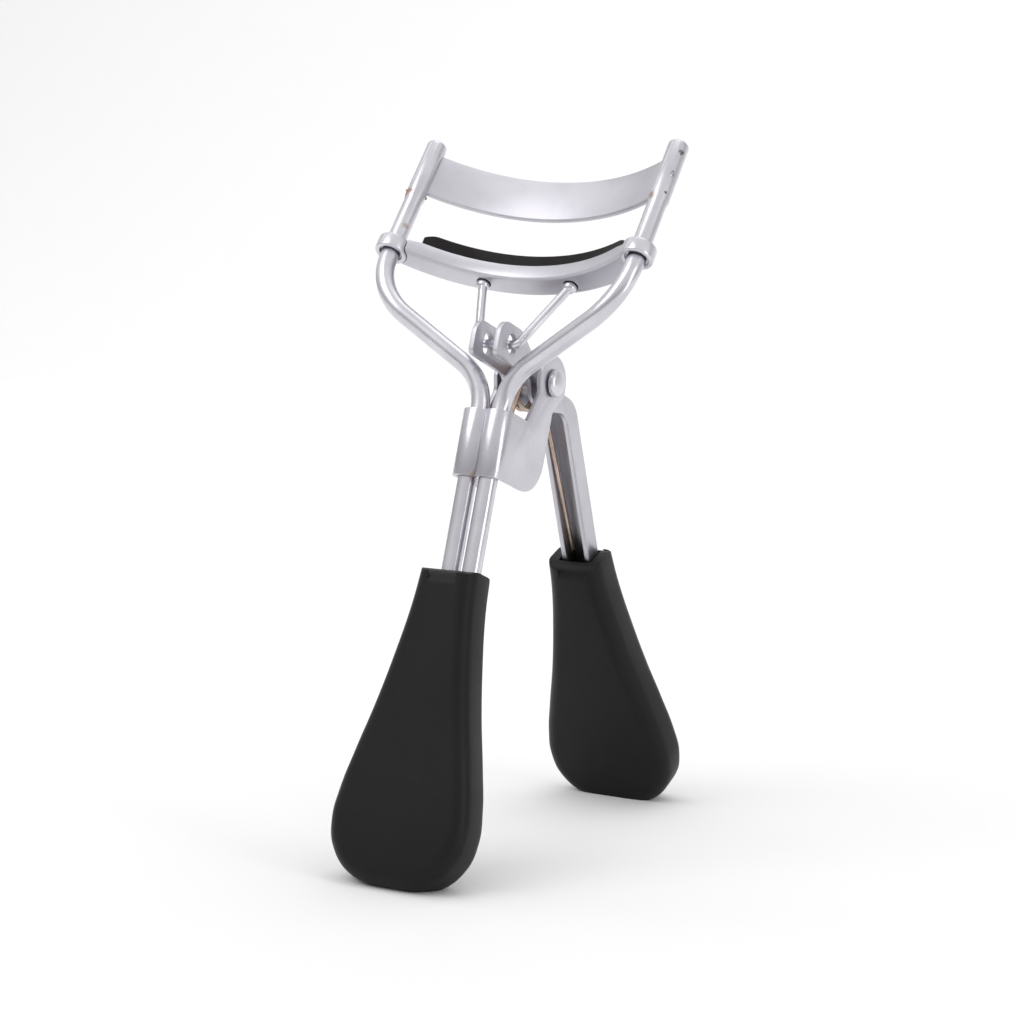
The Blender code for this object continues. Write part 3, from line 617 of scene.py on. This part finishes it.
def makePad():
    front, back = lower["sag"] - pad["width"] / 2, lower["sag"] + pad["width"] / 2
    section = [(front, pad["bottom"]), (back, pad["bottom"]), (back, pad["top"]), (front, pad["top"])]
    bm = sweepBar(section, lower["sag"], math.asin(pad["half"] / barRadius(lower["sag"])), 72)
    softenEdges(bm, pad["edge"], 5, 32, lambda edge: min(vert.co.z for vert in edge.verts) > pad["top"] - 0.1)
    for vert in bm.verts:
        short = pad["half"] - abs(vert.co.x)
        if short < pad["ramp"] and vert.co.z > pad["bottom"] + 0.05:
            drop = 1.0 - max(short, 0.0) / pad["ramp"]
            vert.co.z -= (vert.co.z - pad["bottom"]) * pad["rampDrop"] * drop * drop
    finishPiece("lashPad", bm, headPlace, padSilicone, "carriage", ["lash_pad"])


makeLowerBar()
makeCollar(-1, "collarLeft", "collar_left")
makeCollar(1, "collarRight", "collar_right")
makePad()
print("lower bar, collars and pad made")


# Link wire: its cross-bar lies in the lever's ears, its balls in the lower bar
link = {"radius": 0.62, "half": 3.0, "bend": 1.0, "back": -1.2, "up": 18.4}


def makeLink():
    radius = barRadius(lower["sag"])
    arc = lower["sag"] - radius + math.sqrt(radius ** 2 - ball["x"] ** 2)
    balls = [fromHead(side * ball["x"], arc, ball["up"]) for side in (-1, 1)]
    corners = [balls[0], Vector((-link["half"], link["back"], link["up"])),
               Vector((link["half"], link["back"], link["up"])), balls[1]]
    bm = bmesh.new()
    wireThrough(bm, corners, (link["bend"], link["bend"]), link["radius"], 24, 10)
    closeEnds(bm)
    tools = []
    for at in balls:
        end = bmesh.new()
        bmesh.ops.create_uvsphere(end, u_segments=28, v_segments=18, radius=ball["radius"], matrix=moved(*at))
        tools.append((end, "UNION"))
    bm = cutWith(bm, tools)
    finishPiece("linkWire", bm, toolPlace, brightPlate, "link", ["link_wire"], sharp=50)


makeLink()


# Hinge bracket: sheet bent round both rods, with two ears to the rivet
clip = {"outer": 2.1, "sheet": 0.6, "hole": 1.08, "blankBack": 15.0, "blankFoot": -1.0, "blankTall": 23.0,
        "edge": 0.14}
clipSide = [(-4.0, 0.0, 0), (10.7, 0.0, 4.8), (10.7, 12.4, 1.5), (13.2, 15.2, 1.2), (13.2, 20.0, 3.75),
            (5.6, 20.0, 3.75), (5.6, 15.8, 0.8), (6.3, 14.0, 1.2), (4.2, 9.3, 0.8), (-4.0, 9.3, 0)]


def makeBracket():
    bm = bmesh.new()
    outer, spacing = clip["outer"], rods["spacing"]
    start = bm.verts.new((spacing + outer, clip["blankBack"], clip["blankFoot"]))
    bend = bm.verts.new((spacing + outer, 0, clip["blankFoot"]))
    bm.edges.new((start, bend))
    meet = math.acos(-spacing / outer)
    bmesh.ops.spin(bm, geom=[bend], cent=(spacing, 0, clip["blankFoot"]), axis=(0, 0, 1), angle=-meet, steps=16)
    bmesh.ops.remove_doubles(bm, verts=bm.verts, dist=sameSpot)
    grown = bmesh.ops.extrude_edge_only(bm, edges=bm.edges[:])["geom"]
    bmesh.ops.translate(bm, vec=(0, 0, clip["blankTall"]), verts=onlyVerts(grown))
    bmesh.ops.mirror(bm, geom=bm.verts[:] + bm.edges[:] + bm.faces[:], axis="X", merge_dist=0.01)
    bmesh.ops.remove_doubles(bm, verts=bm.verts, dist=0.01)
    bmesh.ops.recalc_face_normals(bm, faces=bm.faces)
    bm.normal_update()
    ear = max(bm.faces, key=lambda face: face.calc_center_median().x)
    if ear.normal.x < 0:
        bmesh.ops.reverse_faces(bm, faces=bm.faces)
    bmesh.ops.solidify(bm, geom=bm.faces[:], thickness=clip["sheet"])
    bmesh.ops.recalc_face_normals(bm, faces=bm.faces)
    hole = rod(clip["hole"], 12, moved(0, pivotAt["back"], pivotAt["up"]) @ acrossX)
    bm = cutWith(bm, [(plate(clipSide, 6), "INTERSECT"), (hole, "DIFFERENCE")])
    softenEdges(bm, clip["edge"], 2, 45)
    finishPiece("hingeBracket", bm, toolPlace, clipPlate, "frame", ["hinge_bracket"])


# Rivet: a turned pin, domed at both ends
rivet = {"shank": 1.0, "head": 1.9, "rim": 0.35, "dome": 0.8, "seat": 3.9, "steps": 10, "edge": 0.08}


def makeRivet():
    half = []
    shoulder = rivet["seat"] + rivet["rim"]
    for step in range(rivet["steps"] + 1):
        angle = math.pi / 2 * step / rivet["steps"]
        half.append((rivet["head"] * math.sin(angle), shoulder + rivet["dome"] * math.cos(angle)))
    half += [(rivet["head"], rivet["seat"]), (rivet["shank"], rivet["seat"])]
    bm = turnProfile(half + [(radius, -up) for radius, up in reversed(half)])
    softenEdges(bm, rivet["edge"], 2, 60)
    bmesh.ops.transform(bm, matrix=moved(0, pivotAt["back"], pivotAt["up"]) @ acrossX, verts=bm.verts)
    finishPiece("pivotRivet", bm, toolPlace, brightPlate, "frame", ["pivot_rivet"])


makeBracket()
makeRivet()
print("bracket and rivet made")


# Lever: two flanges joined by a web behind them, ears in front, a tang inside the grip
rails = {"half": 2.2, "sheet": 0.7, "front": 4.9, "back": 7.9, "end": 31.9, "tang": 47.0, "tangHalf": 1.5,
         "edge": 0.16}
earHole = {"back": -1.2, "up": 18.4, "halfBack": 1.25, "halfUp": 1.5}


def makeLever():
    back, front, end = rails["back"], rails["front"], rails["end"]
    outline = [(-4.9, 16.0, 0.8), (-4.9, 21.1, 2.2), (0.9, 21.1, 2.4), (4.9, 19.0, 2.0), (11.6, 19.0, 2.5),
               (14.9, 16.3, 2.0), (*alongLever(6.5, back), 4.2), (*alongLever(end, back), 1.1),
               (*alongLever(end, front), 1.7), (*alongLever(7.0, front), 3.0), (12.0, 12.8, 2.5),
               (7.2, 12.8, 2.5), (5.0, 15.8, 1.5)]
    web = back - rails["sheet"]
    hollow = [(-9, 8, 0), (-9, 26, 0), (15, 26, 0), (15, 15.5, 0), (*alongLever(6.5, web), 3.5),
              (*alongLever(end + 4, web), 0), (*alongLever(end + 4, 0), 0)]
    tang = [(*alongLever(along, offset), 0) for along, offset in (
        (end - 3, web + 0.05), (end - 3, back - 0.05),
        (rails["tang"], back - 0.05), (rails["tang"], web + 0.05))]
    low, high = earHole["up"] - earHole["halfUp"], earHole["up"] + earHole["halfUp"]
    near, far = earHole["back"] - earHole["halfBack"], earHole["back"] + earHole["halfBack"]
    ears = [(near, low, 1.1), (far, low, 1.1), (far, high, 1.1), (near, high, 1.1)]
    hole = rod(clip["hole"], 12, moved(0, pivotAt["back"], pivotAt["up"]) @ acrossX)
    bm = cutWith(plate(outline, rails["half"]), [
        (plate(hollow, rails["half"] - rails["sheet"]), "DIFFERENCE"),
        (plate(tang, rails["tangHalf"]), "UNION"),
        (hole, "DIFFERENCE"), (plate(ears, 6), "DIFFERENCE")])
    softenEdges(bm, rails["edge"], 2, 45)
    finishPiece("leverPlate", bm, toolPlace, leverPlate, "lever", ["lever"])


makeLever()


# Torsion spring: the coil and short leg stay with the frame, the long leg goes with the lever
spring = {"back": 8.6, "up": 15.1, "radius": 3.0, "turns": 2, "half": 1.0, "wire": 0.32,
          "shortTip": (2.3, 4.0), "legBend": (18.0, 13.2), "bend": 6.0}


def tangentAngle(spot, side):
    reach = Vector(spot) - Vector((spring["back"], spring["up"]))
    return math.atan2(reach.y, reach.x) + side * math.acos(spring["radius"] / reach.length)


def makeSpring():
    centre = Vector((0, spring["back"], spring["up"]))
    start, end = tangentAngle(spring["shortTip"], -1), tangentAngle(spring["legBend"], 1)
    while end > start:
        end -= 2 * math.pi
    end -= 2 * math.pi * spring["turns"]
    half, steps = spring["half"], 96

    def onCoil(angle, x):
        return centre + Vector((x, spring["radius"] * math.cos(angle), spring["radius"] * math.sin(angle)))

    bm = bmesh.new()
    tip = Vector((half, *spring["shortTip"]))
    first = onCoil(start, half)
    ring = startRing(bm, tip, (first - tip).normalized(), spring["wire"], 16)
    ring = pushRing(bm, ring, first - tip)
    ring = turnRing(bm, ring, centre, Vector((1, 0, 0)), end - start, steps, (-2 * half / steps, 0, 0))
    closeEnds(bm)
    finishPiece("springCoil", bm, toolPlace, springSteel, "frame", ["torsion_spring"])
    bm = bmesh.new()
    legEnd = alongLever(rails["end"] + 1.2, rails["back"] - rails["sheet"] - spring["wire"] - 0.3)
    corners = [onCoil(end, -half), Vector((-half, *spring["legBend"])), Vector((-half, *legEnd))]
    wireThrough(bm, corners, (spring["bend"],), spring["wire"], 16, 12)
    closeEnds(bm)
    softenEdges(bm, 0.2, 2, 60)
    finishPiece("springLeg", bm, toolPlace, springSteel, "lever", [])


makeSpring()
print("lever, link and spring made")


# Grips: paddles with a square mouth
grips = {"thick": 7.0, "edge": 2.2, "length": 42.2, "mouth": 4.2, "frontBack": -1.2, "frontUp": -13.2,
         "frontLean": 2.0, "rearAlong": 30.2, "rearOffset": 6.2, "rearLean": 2.2,
         "pocketWide": 6.2, "pocketDeep": 3.0, "pocketTall": 18.0, "pocketFoot": -25.3}
# (down from the mouth, half width)
gripSwell = [(5.0, 4.6), (12.0, 5.7), (18.5, 7.0), (25.0, 8.6),
             (30.5, 9.8), (34.5, 10.1), (38.3, 9.0), (41.4, 5.6)]


def paddle(place):
    curve = bpy.data.curves.new("paddle", "CURVE")
    curve.dimensions = "2D"
    curve.fill_mode = "BOTH"
    curve.bevel_depth = grips["edge"]
    curve.bevel_resolution = 5
    curve.offset = -grips["edge"]
    curve.extrude = grips["thick"] / 2 - grips["edge"]
    curve.resolution_u = 9
    right = [(grips["mouth"], 0.0)] + [(half, -down) for down, half in gripSwell]
    spots = right + [(0.0, -grips["length"])] + [(-x, y) for x, y in reversed(right)]
    spline = curve.splines.new("BEZIER")
    spline.bezier_points.add(len(spots) - 1)
    for knot, spot in zip(spline.bezier_points, spots):
        knot.co = (*spot, 0)
        knot.handle_left_type = knot.handle_right_type = "AUTO"
    for knot in (spline.bezier_points[0], spline.bezier_points[-1]):
        knot.handle_left_type = knot.handle_right_type = "VECTOR"
    spline.use_cyclic_u = True
    holder = bpy.data.objects.new("paddle", curve)
    bpy.context.scene.collection.objects.link(holder)
    mesh = bpy.data.meshes.new_from_object(holder.evaluated_get(bpy.context.evaluated_depsgraph_get()))
    bpy.data.objects.remove(holder, do_unlink=True)
    bm = bmesh.new()
    bm.from_mesh(mesh)
    bmesh.ops.remove_doubles(bm, verts=bm.verts, dist=0.002)
    bmesh.ops.transform(bm, matrix=place, verts=bm.verts)
    bmesh.ops.recalc_face_normals(bm, faces=bm.faces)
    return bm


def makeFrontGrip():
    place = moved(0, grips["frontBack"], grips["frontUp"]) @ turned(90 - grips["frontLean"], "X")
    pocket = block((grips["pocketWide"], grips["pocketDeep"], grips["pocketTall"]),
                   (0, 0, grips["pocketFoot"] + grips["pocketTall"] / 2))
    return cutWith(paddle(place), [(pocket, "DIFFERENCE")])


def makeRearGrip():
    mouth = alongLever(grips["rearAlong"], grips["rearOffset"])
    place = moved(0, *mouth) @ turned(90 + pivotAt["railAngle"] + grips["rearLean"], "X")
    end, back, front = rails["end"], rails["back"], rails["front"]
    wide = [(*alongLever(along, offset), 0) for along, offset in (
        (grips["rearAlong"] - 4, front - 0.5), (grips["rearAlong"] - 4, back + 0.4), (end + 1.9, back + 0.4),
        (end + 1.9, front - 0.5))]
    thin = [(*alongLever(along, offset), 0) for along, offset in (
        (end, back - 1.0), (end, back + 0.3),
        (rails["tang"] + 0.3, back + 0.3), (rails["tang"] + 0.3, back - 1.0))]
    return cutWith(paddle(place), [(plate(wide, rails["half"] + 0.4), "DIFFERENCE"),
                                   (plate(thin, rails["tangHalf"] + 0.3), "DIFFERENCE")])


def standOnFloor(bm):
    # trims the grip flat where it rests
    bmesh.ops.transform(bm, matrix=toolPlace, verts=bm.verts)
    cut = bmesh.ops.bisect_plane(bm, geom=bm.verts[:] + bm.edges[:] + bm.faces[:], plane_co=(0, 0, 0),
                                 plane_no=(0, 0, -1), clear_outer=True)["geom_cut"]
    bmesh.ops.holes_fill(bm, edges=[item for item in cut if isinstance(item, bmesh.types.BMEdge)], sides=0)
    bmesh.ops.transform(bm, matrix=toolPlace.inverted(), verts=bm.verts)
    return bm


finishPiece("frontGrip", standOnFloor(makeFrontGrip()), toolPlace, gripRubber, "frame", ["front_grip"])
finishPiece("rearGrip", standOnFloor(makeRearGrip()), toolPlace, gripRubber, "lever", ["rear_grip"])
print("grips made")


# Floor, backdrop and lights
studio = {"reach": 2.6, "front": -1.2, "behind": 0.9, "sweep": 0.5, "wall": 1.8, "paper": (0.93, 0.93, 0.93)}


def plainMaterial(name, colour, roughness):
    made = bpy.data.materials.new(name)
    made.use_nodes = True
    shader = made.node_tree.nodes["Principled BSDF"]
    shader.inputs["Base Color"].default_value = (*colour, 1)
    shader.inputs["Roughness"].default_value = roughness
    shader.inputs["Specular IOR Level"].default_value = 0.2
    return made


def makeFloor():
    bm = bmesh.new()
    left = bm.verts.new((-studio["reach"], studio["front"], 0))
    right = bm.verts.new((studio["reach"], studio["front"], 0))
    edge = [bm.edges.new((left, right))]
    grown = ringOf(bmesh.ops.extrude_edge_only(bm, edges=edge)["geom"])
    bmesh.ops.translate(bm, vec=(0, studio["behind"] - studio["front"], 0), verts=grown[0])
    bent = ringOf(bmesh.ops.spin(bm, geom=grown[0] + grown[1], cent=(0, studio["behind"], studio["sweep"]),
                                 axis=(1, 0, 0), angle=math.pi / 2, steps=24)["geom_last"])
    risen = ringOf(bmesh.ops.extrude_edge_only(bm, edges=bent[1])["geom"])
    bmesh.ops.translate(bm, vec=(0, 0, studio["wall"]), verts=risen[0])
    bmesh.ops.remove_doubles(bm, verts=bm.verts, dist=0.0001)
    bmesh.ops.recalc_face_normals(bm, faces=bm.faces)
    mesh = bpy.data.meshes.new("studioSweep")
    bm.to_mesh(mesh)
    bm.free()
    mesh.shade_smooth()
    mesh.materials.append(plainMaterial("palePaper", studio["paper"], 0.9))
    sweep = bpy.data.objects.new("studioSweep", mesh)
    bpy.context.scene.collection.objects.link(sweep)


def addLight(name, place, size, power, target=(0, 0, 0.05)):
    lamp = bpy.data.lights.new(name, "AREA")
    lamp.shape = "RECTANGLE"
    lamp.size, lamp.size_y = size
    lamp.energy = power
    made = bpy.data.objects.new(name, lamp)
    made.location = place
    made.rotation_euler = (Vector(target) - Vector(place)).to_track_quat("-Z", "Y").to_euler()
    bpy.context.scene.collection.objects.link(made)


makeFloor()
addLight("keyBox", (-0.35, -0.55, 0.75), (0.6, 0.6), 2.0)
addLight("sideBox", (0.55, -0.10, 0.12), (0.12, 0.5), 0.6)
addLight("topBox", (0.0, 0.25, 0.95), (0.7, 0.7), 0.9)
addLight("backBox", (-0.5, 0.25, 1.1), (1.8, 0.5), 6.0, (-0.8, 1.5, 0.5))


# the air is bright overhead and greyer low down, so bright plating shows its form
airTone = {"low": -0.25, "high": 0.55, "dim": 0.26, "bright": 0.86}


def makeAir():
    air = bpy.data.worlds.new("studioAir")
    air.use_nodes = True
    tree = air.node_tree
    place = addNode(tree, "ShaderNodeTexCoord")
    parts = addNode(tree, "ShaderNodeSeparateXYZ")
    tree.links.new(place.outputs["Generated"], parts.inputs[0])
    strength = mapRange(tree, parts.outputs["Z"], airTone["low"], airTone["high"],
                        airTone["dim"], airTone["bright"])
    tree.links.new(strength, tree.nodes["Background"].inputs["Strength"])
    tree.nodes["Background"].inputs["Color"].default_value = (1, 1, 1, 1)
    bpy.context.scene.world = air


makeAir()
bpy.context.scene.view_settings.view_transform = "Standard"
print("studio ready")
